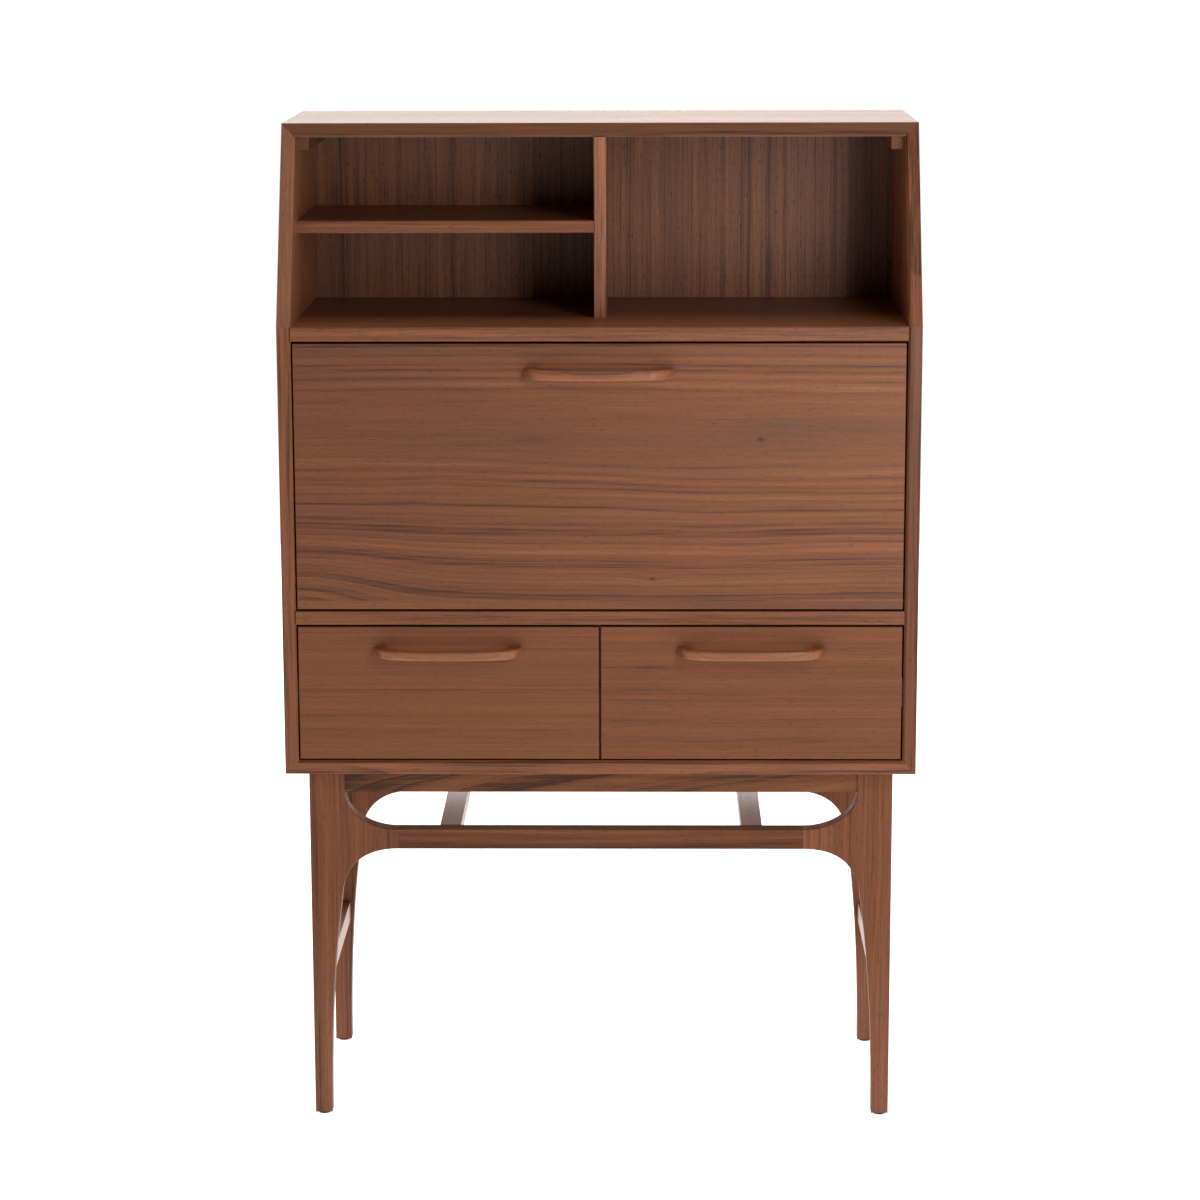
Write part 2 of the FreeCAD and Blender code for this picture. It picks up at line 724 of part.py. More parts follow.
def stand():
    right_leg = leg()
    for side, sign in SIDES:
        front_leg = on_side(right_leg, sign)
        parts["leg_front_" + side] = front_leg
        parts["leg_rear_" + side] = front_to_rear(front_leg)
    parts["stretcher_front"] = stretcher()
    parts["stretcher_rear"] = front_to_rear(stretcher())
    front_apron = box((-x_apron, x_apron), (y_leg + apron_recess, y_leg_back), (window_top, z_bottom))
    front_apron = eased_front(front_apron, "X")
    parts["apron_front"] = front_apron
    parts["apron_rear"] = front_to_rear(front_apron)
    x_outer = half_stand - apron_recess
    side_apron = box((x_outer - apron_thickness, x_outer), (y_leg_back, y_rear_inner), (window_top, z_bottom))
    parts["side_aprons"] = both_sides(side_apron)
    half_rail = cross_rail_width / 2
    cross_rail = box((cross_rail_offset - half_rail, cross_rail_offset + half_rail), (y_leg_back, y_rear_inner),
                     (stretcher_high - cross_rail_height, stretcher_high))
    cross_rail = eased_along(cross_rail, "Y")
    x_side = half_stand - side_rail_inset
    side_rail = box((x_side - side_rail_thickness, x_side), (y_leg_back, y_rear_inner),
                    (side_rail_low, side_rail_low + side_rail_height))
    side_rail = eased_along(side_rail, "Y")
    for side, sign in SIDES:
        parts["cross_rail_" + side] = on_side(cross_rail, sign)
        parts["side_stretcher_" + side] = on_side(side_rail, sign)
    screws = Part.makeCompound(stand_screws())
    parts["corner_blocks"] = Part.makeCompound([one.cut(screws) for one in at_four_corners(corner_block())])
    parts["stand_screws"] = screws
    parts["floor_glides"] = Part.makeCompound(at_four_corners(glide()))


def main():
    os.makedirs("parts", exist_ok=True)
    cabinet_shell()
    top_and_bottom()
    inside_boards()
    back_panels()
    flap()
    stays()
    drawers()
    stand()
    for name, shape in parts.items():
        shape.exportStep("parts/" + name + ".step")
    print(len(parts), "nodes")


main()
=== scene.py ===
# %% [markdown]
# # Secretary desk: looks
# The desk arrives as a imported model: one mesh for each board, rail, runner and fitting, every one in its
# place. Nothing of it is moved here. Each mesh gets a finish, a few small pieces are added, and a plain
# studio is built round it.

# %% Load the desk
import math

import bmesh
import bpy
from mathutils import Matrix, Vector


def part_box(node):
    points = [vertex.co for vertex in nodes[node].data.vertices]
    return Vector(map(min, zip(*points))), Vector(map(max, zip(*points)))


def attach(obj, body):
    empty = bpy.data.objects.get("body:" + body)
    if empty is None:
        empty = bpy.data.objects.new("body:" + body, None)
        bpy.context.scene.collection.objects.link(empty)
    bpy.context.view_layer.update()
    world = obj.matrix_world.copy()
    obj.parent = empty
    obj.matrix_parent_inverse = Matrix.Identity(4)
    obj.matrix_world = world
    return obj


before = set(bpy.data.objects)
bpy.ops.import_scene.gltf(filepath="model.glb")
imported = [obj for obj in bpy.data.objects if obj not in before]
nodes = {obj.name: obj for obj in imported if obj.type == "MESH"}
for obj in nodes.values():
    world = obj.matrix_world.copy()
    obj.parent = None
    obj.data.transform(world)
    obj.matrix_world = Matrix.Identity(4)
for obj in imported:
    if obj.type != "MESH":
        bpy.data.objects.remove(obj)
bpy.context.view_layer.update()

bpy.ops.object.select_all(action="DESELECT")

# %% [markdown]
# # Sums in a material
# A procedural finish is mostly arithmetic on the place of a point. Wiring a Math node for each sum hides
# what it says, so one class wraps a socket and lets Python's own operators add the nodes. Any other node
# comes from its `node` method: the kind, the settings, then what goes into its sockets.

# %% A socket that can be used in a sum
class Amount:
    """A number, colour or vector that a socket gives, ready for sums."""

    def __init__(self, tree, socket):
        self.tree = tree
        self.socket = socket

    def node(self, kind, settings, inputs, output=0):
        """A new node of any kind, as the amount that leaves one of its sockets."""
        made = self.tree.nodes.new("ShaderNode" + kind)
        for name, value in settings.items():
            if name == "stops":
                set_stops(made.color_ramp, value)
            else:
                setattr(made, name, value)
        for key, value in inputs.items():
            if isinstance(value, Amount):
                self.tree.links.new(value.socket, made.inputs[key])
            else:
                made.inputs[key].default_value = value
        return Amount(self.tree, made.outputs[output])

    def maths(self, operation, *values):
        return self.node("Math", {"operation": operation}, dict(enumerate(values)))

    def __add__(self, other):
        return self.maths("ADD", self, other)

    def __radd__(self, other):
        return self.maths("ADD", other, self)

    def __sub__(self, other):
        return self.maths("SUBTRACT", self, other)

    def __rsub__(self, other):
        return self.maths("SUBTRACT", other, self)

    def __mul__(self, other):
        return self.maths("MULTIPLY", self, other)

    def __rmul__(self, other):
        return self.maths("MULTIPLY", other, self)

    def __pow__(self, power):
        return self.maths("POWER", self, power)


def set_stops(ramp, stops):
    """Give a colour ramp its stops, each a position and a colour."""
    while len(ramp.elements) < len(stops):
        ramp.elements.new(1.0)
    for element, (position, colour) in zip(ramp.elements, stops):
        element.position = position
        element.color = (*colour, 1.0)


# %% [markdown]
# # Words for finishes
# Every finish asks small questions about a point: how far along the grain is it, which ring of the tree is
# this, is there a pore or a scratch here, is an edge near. Each question is a short function. Noise is
# stretched by scaling the coordinates before it: few waves along the grain, many across it.

# %% A new finish
# Which axis runs along the grain, which across it and which into the board
GRAINS = {
    "along the front": "xzy",
    "along the shelf": "xyz",
    "up the side": "zyx",
    "up the front": "zxy",
    "front to back": "yxz",
}


def new_finish(name):
    """A material, its shader node, and the place of the point on the piece."""
    material = bpy.data.materials.new(name)
    material.use_nodes = True
    tree = material.node_tree
    shader = tree.nodes["Principled BSDF"]
    places = tree.nodes.new("ShaderNodeTexCoord")
    return material, shader, Amount(tree, places.outputs["Object"])


def split(here):
    """x, y and z of a place as three amounts."""
    return {axis: here.node("SeparateXYZ", {}, {0: here}, i) for i, axis in enumerate("xyz")}


# %% Noise
def stretched_noise(along, across, deep, waves, detail=2.0, rough=0.5, seed=0.0):
    """Noise from 0 to 1 with a number of waves a metre in each direction."""
    place = along.node("CombineXYZ", {}, {
        0: along * waves[0] + seed,
        1: across * waves[1] + 1.7 * seed,
        2: deep * waves[2] - 2.3 * seed,
    })
    settings = {"noise_dimensions": "3D", "normalize": True}
    inputs = {"Vector": place, "Scale": 1.0, "Detail": detail, "Roughness": rough}
    return along.node("TexNoise", settings, inputs)


def line_noise(amount, waves, detail=2.0, seed=0.0):
    """Noise along one number, which turns a distance into bands of uneven width."""
    settings = {"noise_dimensions": "1D", "normalize": True}
    return amount.node("TexNoise", settings, {"W": amount * waves + seed, "Scale": 1.0, "Detail": detail})


# %% Soft steps and soft spots
def between(amount, low, high):
    """0 below low, 1 above high, and a smooth step in between."""
    settings = {"interpolation_type": "SMOOTHSTEP", "clamp": True}
    return amount.node("MapRange", settings, {0: amount, 1: low, 2: high, 3: 0.0, 4: 1.0})


def spot(first, second, middle, reach):
    """1 at a middle given by two numbers, falling softly to 0 over a reach in each direction."""
    u = (first - middle[0]) * (1.0 / reach[0])
    v = (second - middle[1]) * (1.0 / reach[1])
    fall = (u * u + v * v) * -1.0
    return fall.maths("EXPONENT", fall)


# %% Mixing colours
def mixed(share, first, second, way="MIX"):
    """Two colours mixed; each is an Amount or three numbers."""
    values = [one if isinstance(one, Amount) else (*one, 1.0) for one in (first, second)]
    settings = {"data_type": "RGBA", "blend_type": way, "clamp_factor": True}
    return share.node("Mix", settings, {0: share, 6: values[0], 7: values[1]}, 2)


def tinted(colour, tint):
    """A colour multiplied by a tint that changes from place to place."""
    settings = {"data_type": "RGBA", "blend_type": "MULTIPLY"}
    return colour.node("Mix", settings, {0: 1.0, 6: colour, 7: tint}, 2)


# %% Rubbed edges
BEVEL_SAMPLES = 4
EDGE_STARTS, EDGE_FULL = 0.03, 0.25


def near_edge(here, reach):
    """0 on a flat face, rising to 1 where an edge of the piece is near and hands rub it."""
    rounded = here.node("Bevel", {"samples": BEVEL_SAMPLES}, {"Radius": reach})
    plain = here.node("NewGeometry", {}, {}, 1)
    same = here.node("VectorMath", {"operation": "DOT_PRODUCT"}, {0: rounded, 1: plain}, 1)
    return between(1.0 - same, EDGE_STARTS, EDGE_FULL)


# %% From a finish to a piece
def connect(material, shader, colour, rough, bump):
    """Wire the three amounts that change over a surface into its shader."""
    tree = material.node_tree
    tree.links.new(colour.socket, shader.inputs["Base Color"])
    tree.links.new(rough.socket, shader.inputs["Roughness"])
    tree.links.new(bump.socket, shader.inputs["Normal"])


def put_on(material, *names):
    """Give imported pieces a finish."""
    for name in names:
        slots = nodes[name].material_slots
        for slot in slots:
            slot.material = material
        if not slots:
            nodes[name].data.materials.append(material)
    print(material.name, "on", ", ".join(names))


# %% [markdown]
# # Walnut
# The desk is American walnut under a thin satin lacquer. The colour runs from red-brown to grey-brown in
# soft zones, the year rings draw darker lines, and short dark pores lie along the grain. The rings are
# cylinders about a heart line. A board cut near the heart shows arches, one cut far from it shows straight
# lines, so one formula with another heart gives every board. The heart may bow away from the face towards
# the board's ends, which makes the lines spread in the middle. A knot or a swell lifts the rings locally,
# and they bend round it as they do in a real board.

# %% The woods' colours
DARK_LINE = (0.070, 0.027, 0.014)
MID_BROWN = (0.176, 0.060, 0.0252)
RED_BROWN = (0.215, 0.073, 0.0285)
PALE_STREAK = (0.272, 0.104, 0.042)
GREY_BROWN = (0.128, 0.057, 0.0305)
WALNUT = {
    "warm": ((0.06, DARK_LINE), (0.34, MID_BROWN), (0.62, RED_BROWN), (0.96, PALE_STREAK)),
    "dull": ((0.06, DARK_LINE), (0.40, GREY_BROWN), (0.72, MID_BROWN), (1.00, RED_BROWN)),
    "pore": (0.045, 0.016, 0.008),
    "knot": (0.040, 0.016, 0.009),
    "orange": (1.26, 1.14, 0.90),
    "rose": (1.03, 1.00, 1.05),
}
BIRCH = {
    "warm": ((0.06, (0.40, 0.25, 0.13)), (0.50, (0.54, 0.38, 0.22)), (0.96, (0.66, 0.50, 0.32))),
    "dull": ((0.06, (0.38, 0.25, 0.14)), (0.50, (0.49, 0.35, 0.21)), (0.96, (0.58, 0.43, 0.28))),
    "pore": (0.30, 0.19, 0.10),
    "knot": (0.25, 0.14, 0.07),
    "orange": (1.05, 1.0, 0.92),
    "rose": (1.03, 0.99, 1.0),
}
RUBBED_TINT = (1.35, 1.32, 1.30)


def shaded(stops, shade):
    """A ramp's stops made darker or lighter, by one number or by one each for red, green and blue."""
    shades = shade if isinstance(shade, tuple) else (shade, shade, shade)
    return [(position, tuple(one * part for one, part in zip(shades, colour)))
            for position, colour in stops]


# %% The rings of a board
DRIFT_WAVES = (1.6, 5.0, 5.0)
RIPPLE_WAVES = (7.0, 26.0, 26.0)
RIPPLE_SHARE = 0.12
KNOT_STRETCH = 2.6


def ring_radius(place, seed, heart, tilt, bow, sway, calm, knots, swells):
    """How far each point lies from the heart of the log, with every wave and knot in it."""
    along, across, deep = place
    drift = stretched_noise(*place, DRIFT_WAVES, 1.0, seed=seed) - 0.5
    ripple = stretched_noise(*place, RIPPLE_WAVES, 1.0, seed=seed + 4.0) - 0.5
    lift = drift * sway + ripple * (sway * RIPPLE_SHARE)
    for *middle, reach, height in knots + swells:
        lift = lift + spot(along, across, middle, (KNOT_STRETCH * reach, reach)) * height
    side = across - heart[0] + lift
    below = deep - heart[1] + along * tilt + lift + (along * along) * bow
    radius = (side * side + below * below) ** 0.5
    return radius.maths("MAXIMUM", radius, calm)


# %% What the rings draw
WIDE_BANDS = 52.0
NARROW_BANDS = 210.0
ORANGE_BANDS = 95.0
RINGS_A_METRE = 165.0
RING_DRIFT_WAVES = 24.0
RING_DRIFT = 7.0
LATE_WOOD = 4.0


def ring_marks(radius, seed):
    """Wide and narrow bands, the dark late wood that closes each year, and a few orange years."""
    drift = line_noise(radius, RING_DRIFT_WAVES, 1.0, seed + 3.0) * RING_DRIFT
    ring = radius * RINGS_A_METRE + drift
    return {
        "wide": line_noise(radius, WIDE_BANDS, 1.0, seed),
        "narrow": line_noise(radius, NARROW_BANDS, 2.0, seed + 9.0),
        "late": ring.maths("FRACT", ring) ** LATE_WOOD,
        "orange": between(line_noise(radius, ORANGE_BANDS, 1.0, seed + 29.0), 0.58, 0.74),
    }


# %% What the grain draws
ZONE_WAVES = (1.3, 9.0, 9.0)
BLUSH_WAVES = (1.1, 6.0, 6.0)
FIBRE_WAVES = (9.0, 640.0, 640.0)
STREAK_WAVES = (1.8, 150.0, 150.0)
RUB_WAVES = (24.0, 60.0, 60.0)
PORE_WAVES_ALONG = 85.0
RUBBED_REACH = 0.0022


def grain_marks(here, place, seed, pore_width):
    """Soft zones and blushes of colour, fibres, streaks, pores, and where hands have rubbed an edge."""
    pore_waves = (PORE_WAVES_ALONG, 1.0 / pore_width, 1.0 / pore_width)
    worn = between(stretched_noise(*place, RUB_WAVES, 2.0, seed=seed + 23.0), 0.3, 0.7)
    return {
        "zones": stretched_noise(*place, ZONE_WAVES, 2.0, seed=seed + 7.0),
        "blush": stretched_noise(*place, BLUSH_WAVES, 1.0, seed=seed + 19.0),
        "fibre": stretched_noise(*place, FIBRE_WAVES, 2.0, seed=seed + 11.0),
        "streak": stretched_noise(*place, STREAK_WAVES, 2.0, seed=seed + 13.0),
        "pores": between(stretched_noise(*place, pore_waves, 1.0, seed=seed + 17.0), 0.60, 0.72),
        "rubbed": near_edge(here, RUBBED_REACH) * worn,
    }


# %% The colour of a board
COOLEST, COOL_REACH, COOL_STEP = 0.80, 0.55, 0.28
KNOT_EYE = (0.50, 0.26)


def wood_colour(tone, rings, marks, colours, shade, cool, pore):
    """A tone turned into colour: warm or dull ramp, orange years, rose blush, dark pores."""
    warm = tone.node("ValToRGB", {"stops": shaded(colours["warm"], shade)}, {0: tone})
    dull = tone.node("ValToRGB", {"stops": shaded(colours["dull"], shade)}, {0: tone})
    dull_from = COOLEST - COOL_REACH * cool
    dullness = between(marks["zones"] + (rings["wide"] - 0.5) * 0.3, dull_from, dull_from + COOL_STEP)
    colour = mixed(dullness, warm, dull)
    colour = mixed(rings["orange"] * 0.65, colour, colours["orange"], "MULTIPLY")
    colour = mixed(between(marks["blush"], 0.42, 0.66), colour, colours["rose"], "MULTIPLY")
    return mixed(marks["pores"] * pore, colour, colours["pore"])


# %% A wood finish
CALM_EDGE = 0.006
LACQUER_IOR = 1.47
COAT_SHARE, COAT_ROUGHNESS = 0.25, 0.22


def grain_place(axes, grain, slope):
    """A point as its place along the grain, across it and into the board; slope leans upright grain."""
    if slope is None:
        return [axes[one] for one in GRAINS[grain]]
    return [
        axes["z"] * math.cos(slope) + axes["y"] * math.sin(slope),
        axes["y"] * math.cos(slope) - axes["z"] * math.sin(slope),
        axes["x"],
    ]


def wood(name, grain, seed, heart=(0.9, 0.3), tilt=0.0, bow=0.0, sway=0.02, calm=0.0, figure=1.0,
         lines=1.0, cool=0.5, shade=1.0, colours=WALNUT, knots=(), swells=(), pore=0.55,
         pore_width=0.0007, pin_stripes=1.0, satin=0.42, gloss=0.25, patch=None, slope=None):
    """A wood finish.

    heart is how far the heart lies across and below; rings closer to it than calm are left out, as in a
    leaf whose middle lies within one ring. figure, lines and pin_stripes are the strength of the bands,
    of the late wood and of the fine streaks. cool is how readily the wood turns grey-brown, satin its
    roughness, gloss its shine. patch tints the colour from place to place, slope leans the grain.
    """
    material, shader, here = new_finish(name)
    axes = split(here)
    place = grain_place(axes, grain, slope)
    radius = ring_radius(place, seed, heart, tilt, bow, sway, calm, knots, swells)
    rings = ring_marks(radius, seed)
    marks = grain_marks(here, place, seed, pore_width)

    clear = between(radius, calm, calm + CALM_EDGE)
    bands = (rings["wide"] - 0.5) * 0.8 + (rings["narrow"] - 0.5) * 0.7 - rings["late"] * (0.2 * lines)
    streaks = (marks["streak"] - 0.5) * (0.34 * pin_stripes)
    fibre = marks["fibre"] - 0.5
    tone = 0.5 + bands * clear * figure + streaks + fibre * (0.6 * pin_stripes)
    colour = wood_colour(tone, rings, marks, colours, shade, cool, pore)
    for *middle, reach, _ in knots:
        eye = spot(place[0], place[1], middle, (KNOT_EYE[0] * reach, KNOT_EYE[1] * reach))
        colour = mixed(eye * 0.85, colour, colours["knot"])
    if patch:
        colour = patch(axes, colour)
    colour = mixed(marks["rubbed"] * 0.5, colour, RUBBED_TINT, "MULTIPLY")

    rough = satin + fibre * 0.10 + marks["pores"] * 0.12 + (marks["zones"] - 0.5) * 0.06
    rough = rough - marks["rubbed"] * 0.08
    height = fibre * 0.35 - marks["pores"] * 0.9 - rings["late"] * 0.15
    bump = height.node("Bump", {}, {"Height": height, "Strength": 0.22, "Distance": 0.0004})
    connect(material, shader, colour, rough, bump)
    shader.inputs["IOR"].default_value = LACQUER_IOR
    shader.inputs["Specular IOR Level"].default_value = gloss
    shader.inputs["Coat Weight"].default_value = COAT_SHARE * gloss
    shader.inputs["Coat Roughness"].default_value = COAT_ROUGHNESS
    return material


# %% [markdown]
# # The writing flap
# The flap is the desk's show face, one wide leaf laid across it. Its rings spread in the middle round a
# grey cloud a third of the way down, and bend steeply in the lower left corner, where a branch once grew.
# Two pin knots sit right of the middle. The heart line's bow gives the spread, a wide swell gives the
# corner.

# %% Flap veneer
flap_low, flap_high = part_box("flap_panel")
flap_width = flap_high.x - flap_low.x
flap_height = flap_high.z - flap_low.z


def on_flap(share_across, share_up):
    """A place on the flap from shares of its width and height."""
    return flap_low.x + share_across * flap_width, flap_low.z + share_up * flap_height


pin_knots = ((*on_flap(0.764, 0.630), 0.010, 0.007), (*on_flap(0.587, 0.087), 0.008, 0.004))
branch_swells = ((*on_flap(0.0, 0.06), 0.055, -0.024), (*on_flap(0.74, 0.74), 0.030, 0.004))


def flap_tints(axes, colour):
    """Painted key light, lighter towards the right end; a grey cloud with a darker core lies near its
    middle.
    """
    # painted light: the colour brightens from left to right, standing in for the key light on the right
    painted_key_light_rightwards = between(axes["x"], flap_low.x, flap_high.x)
    colour = tinted(colour, mixed(painted_key_light_rightwards, (0.90, 0.90, 0.90), (1.12, 1.12, 1.13)))
    cloud = spot(axes["x"], axes["z"], on_flap(0.36, 0.63), (0.26, 0.030))
    core = spot(axes["x"], axes["z"], on_flap(0.393, 0.63), (0.022, 0.006))
    colour = mixed(cloud * 0.8, colour, (0.80, 0.88, 0.93), "MULTIPLY")
    return mixed(core * 0.5, colour, (0.62, 0.60, 0.72), "MULTIPLY")


flap_heart = (on_flap(0, 0.68)[1], -0.080)
put_on(wood("flap veneer", "along the front", 3.1, heart=flap_heart, bow=-0.012, calm=0.1165, sway=0.022,
            figure=1.1, lines=1.0, cool=0.55, shade=0.96, pin_stripes=1.5, knots=pin_knots,
            swells=branch_swells, patch=flap_tints),
       "flap_panel")
print("the flap's leaf is", round(flap_width, 3), "by", round(flap_height, 3), "m")

# %% [markdown]
# # The other veneers
# The drawer fronts are cut from quieter leaves, the sides and the shelves from straighter ones, and the
# hutch back from thin pin-striped leaves that stand upright, with a seam near its right end.

# %% Drawer fronts
put_on(wood("left drawer veneer", "along the front", 21.0, heart=(0.1, 0.35), sway=0.03, figure=0.6,
            cool=0.25, shade=(0.92, 0.88, 0.79), pin_stripes=1.3),
       "drawer_left_front")
put_on(wood("right drawer veneer", "along the front", 27.0, heart=(0.1, 0.35), sway=0.03, figure=0.65,
            cool=0.3, shade=(0.89, 0.84, 0.75), pin_stripes=1.4),
       "drawer_right_front")

# %% Sides, top and shelves
# The sides' raised shade is painted light: it brightens the hutch's inner walls as the key light does.
put_on(wood("side veneer", "up the side", 5.0, heart=(0.0, 0.65), tilt=0.03, sway=0.06, figure=0.8,
            shade=1.5, gloss=0.4),
       "side_panel_left", "side_panel_right")
put_on(wood("top veneer", "along the shelf", 8.0, heart=(0.02, 1.2), tilt=0.02, sway=0.06, figure=0.8,
            shade=1.15, gloss=0.35),
       "top_panel", "bottom_panel")
put_on(wood("shelf veneer", "along the shelf", 13.0, heart=(0.9, 0.3), sway=0.03, figure=0.7, cool=0.35,
            pin_stripes=2.6),
       "hutch_floor", "hutch_shelf", "middle_board", "writing_bed")
# The divider's high, bluish shade is painted light: it brightens its key-lit front edge.
put_on(wood("divider veneer", "up the side", 15.0, heart=(0.8, 0.3), sway=0.03, figure=0.9, cool=0.3,
            shade=(1.80, 2.02, 2.35), pin_stripes=2.2),
       "hutch_divider", "drawer_partition")

# %% Back
SEAM = 0.358
SEAM_HALF_WIDTH = 0.0003


def second_leaf(axes, colour):
    """Beyond the seam another, darker leaf begins."""
    beyond = between(axes["x"], SEAM - SEAM_HALF_WIDTH, SEAM + SEAM_HALF_WIDTH)
    tint = mixed(beyond, (0.97, 1.07, 1.16), (0.66, 0.66, 0.64))
    return tinted(colour, tint)


put_on(wood("back veneer", "up the front", 18.0, heart=(1.6, 0.3), sway=0.010, figure=0.85, lines=1.6,
            cool=0.45, shade=1.12, pore=0.85, pore_width=0.0014, pin_stripes=2.3, patch=second_leaf),
       "hutch_back", "lower_back")

# %% [markdown]
# # Solid wood
# Lippings, stand and handles are solid, so their figure runs through them and each turns its grain its
# own way: up the legs, along the rails, along the slanted front edges. The front legs' horns end in a
# short piece of other wood where they meet the stretcher, paler on the right and greyer on the left. The
# handles are cut from a lighter, redder stick.

# %% Lippings
top_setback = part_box("top_lipping")[0].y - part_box("side_lipping_lower_left")[0].y
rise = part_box("top_lipping")[1].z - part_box("hutch_floor")[1].z
slant = math.atan2(top_setback, rise)
for side, seed, cool, shade in (("left", 31.0, 0.6, 1.10), ("right", 32.0, 0.4, 0.72)):
    put_on(wood(side + " upright lipping", "up the front", seed, heart=(1.2, 0.5), sway=0.03, figure=1.1,
                cool=cool, shade=shade, pin_stripes=2.4),
           "side_lipping_lower_" + side)
# The left slanted lipping's pale, bluish shade is a painted reflection of the bright backdrop at a grazing
# angle.
for side, seed, cool, shade in (("left", 33.0, 0.95, (1.55, 1.85, 2.2)), ("right", 34.0, 0.4, 1.0)):
    put_on(wood(side + " slanted lipping", "up the front", seed, heart=(1.2, 0.5), sway=0.03, figure=1.2,
                cool=cool, shade=shade, pin_stripes=2.6, slope=slant),
           "side_lipping_upper_" + side)
put_on(wood("upper lipping", "along the front", 35.0, heart=(0.3, 0.9), sway=0.03, figure=0.7, cool=0.5,
            shade=(0.80, 0.90, 1.06), pin_stripes=1.8),
       "top_lipping")
put_on(wood("lower lipping", "along the front", 36.0, heart=(0.3, 0.9), sway=0.03, figure=1.2, cool=0.2,
            shade=1.12, pin_stripes=2.2),
       "bottom_lipping")
put_on(wood("flap lipping", "along the front", 37.0, heart=(0.3, 0.9), sway=0.03, figure=0.5, cool=0.8),
       "flap_lipping")
print("the slanted lipping leans", round(math.degrees(slant), 1), "degrees")


# %% Stand
HORN_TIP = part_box("stretcher_front")[1].x
JOINT_PIECE = 0.017
GLUE_LINE = 0.0005
# painted light: how high the painted sheen and floor light reach up the legs, and their tint
PAINTED_SHEEN_HEIGHT = 0.34
PAINTED_FOOT_SHEEN = (1.22, 1.36, 1.55)
PLAIN = (1.0, 1.0, 1.0)
PALE_PIECE = (1.25, 1.24, 1.20)
GREY_PIECE = (0.92, 0.98, 1.0)


def leg_tints(axes, colour):
    """Painted sheen and floor light, paler towards the feet, and a short piece of other wood at the end of
    each horn.
    """
    # painted light: the legs turn paler and bluer towards the feet, a greyish sheen and the floor's light
    # painted in
    colour = tinted(colour, mixed(between(axes["z"], 0.0, PAINTED_SHEEN_HEIGHT), PAINTED_FOOT_SHEEN, PLAIN))
    pieces = ((1.0, HORN_TIP + JOINT_PIECE, PALE_PIECE), (-1.0, HORN_TIP, GREY_PIECE))
    for side, start, tint in pieces:
        out = axes["x"] * side
        end = start + JOINT_PIECE
        inside = between(out, start - GLUE_LINE, start) - between(out, end, end + GLUE_LINE)
        colour = mixed(inside, colour, tint, "MULTIPLY")
    return colour


# the legs' blue-leaning shade is part of the same painted greyish sheen
put_on(wood("leg walnut", "up the front", 41.0, heart=(1.1, 0.6), sway=0.03, figure=0.85, cool=0.35,
            pin_stripes=1.6, shade=(0.92, 0.96, 1.10), satin=0.52, gloss=0.14, patch=leg_tints),
       "leg_front_left", "leg_front_right", "leg_rear_left", "leg_rear_right")
put_on(wood("stretcher walnut", "along the front", 51.0, heart=(0.1, 0.7), sway=0.03, figure=1.3, cool=0.35,
            pin_stripes=1.8, shade=(0.66, 0.70, 0.84), satin=0.55, gloss=0.1),
       "stretcher_front", "stretcher_rear")
put_on(wood("apron walnut", "along the front", 57.0, heart=(0.42, 0.1), tilt=0.05, sway=0.03, figure=1.7,
            cool=0.5, pin_stripes=1.6, shade=(0.88, 1.00, 1.10), satin=0.55, gloss=0.1),
       "apron_front", "apron_rear")
# The rails' raised shade paints in the grazing reflection of the white floor and backdrop, on top of their
# real gloss.
put_on(wood("rail walnut", "front to back", 43.0, heart=(1.1, 0.9), sway=0.03, figure=0.6, cool=0.35,
            shade=1.35, gloss=0.85),
       "cross_rail_left", "cross_rail_right", "side_stretcher_left", "side_stretcher_right", "side_aprons")
put_on(wood("batten walnut", "front to back", 45.0, heart=(1.1, 0.9), sway=0.03, figure=0.6, cool=0.8,
            shade=0.9, gloss=0.1),
       "top_battens")

# %% Handles
put_on(wood("handle walnut", "along the front", 47.0, heart=(0.4, 0.35), sway=0.02, figure=0.9, cool=0.15,
            shade=1.3, satin=0.36, gloss=0.35),
       "flap_handle", "drawer_left_handle", "drawer_right_handle")

# %% [markdown]
# # Drawer boxes
# Inside, a desk like this is plain birch: sides and backs with the grain lying along them, thin bottoms
# with the grain across, and corner blocks under the cabinet.

# %% Birch
put_on(wood("birch side", "front to back", 61.0, heart=(0.9, 0.9), sway=0.03, figure=0.5, colours=BIRCH,
            pore=0.25, satin=0.5),
       "drawer_left_sides", "drawer_right_sides")
put_on(wood("birch back", "along the front", 63.0, heart=(0.9, 0.9), sway=0.03, figure=0.5, colours=BIRCH,
            pore=0.25, satin=0.5),
       "drawer_left_back", "drawer_right_back")
put_on(wood("birch bottom", "along the shelf", 65.0, heart=(0.1, 1.1), sway=0.05, figure=0.7, colours=BIRCH,
            pore=0.2, satin=0.52),
       "drawer_left_bottom", "drawer_right_bottom")
put_on(wood("birch block", "front to back", 67.0, heart=(0.4, 0.8), sway=0.02, figure=0.7, colours=BIRCH,
            shade=0.85, pore=0.3, satin=0.6),
       "corner_blocks")

# %% [markdown]
# # Fittings
# Runners and the strike plate are zinc-plated steel: a pale grey with faint drawing lines, a cloudy bloom
# and roughness that changes with it. The screws are yellow zinc. The stays and their brackets are
# nickel-plated, the pivots are browned steel that disappears in the gap, and the catch and the floor
# glides are moulded plastic with a fine leathery skin.

# %% Metal
DRAWN_WAVES = (22.0, 1600.0, 1600.0)
BLOOM_WAVES = (60.0, 60.0, 60.0)
SPECK_WAVES = (700.0, 700.0, 700.0)
SPECK_TINT = (0.55, 0.52, 0.50)
BRIGHT_EDGE = (1.25, 1.25, 1.25)


